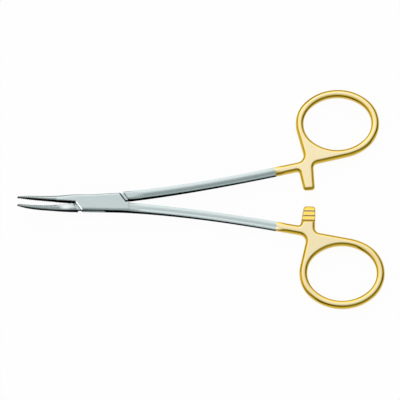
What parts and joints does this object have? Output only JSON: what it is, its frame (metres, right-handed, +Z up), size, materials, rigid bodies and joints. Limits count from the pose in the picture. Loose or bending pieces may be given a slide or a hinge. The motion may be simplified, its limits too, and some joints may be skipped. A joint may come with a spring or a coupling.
{
  "type": "hemostat forceps",
  "caption": "Ring-handled surgical clamp with a box lock, slim curved serrated jaws, a ratchet between gold-plated finger rings.",
  "frame": {"origin": "on the pivot axis, at the underside of the box, which is the face that the instrument rests on", "axes": "+X from the pivot towards the finger rings, along the middle line between the halves; +Y towards the male half's ring; +Z up, the way the jaws curve"},
  "size_m": [0.1384, 0.0858, 0.0083],
  "materials": {
    "plated_steel": "satin steel, with polished gold plating from the end of the shanks over the rings and ratchet",
    "pin_steel": "satin, ground flush with the box",
    "carbide": "ground grey carbide"
  },
  "bodies": {
    "female_side": {"female_half": "plated_steel", "pivot_pin": "pin_steel", "upper_jaw_insert": "carbide"},
    "male_side": {"male_half": "plated_steel", "lower_jaw_insert": "carbide"}
  },
  "joints": [
    {"name": "box_lock", "type": "hinge", "parent": "female_side", "child": "male_side", "pos_m": [0, 0, 0.0023], "axis": [0, 0, 1], "range_deg": [-4.8, 61.2]}
  ]
}
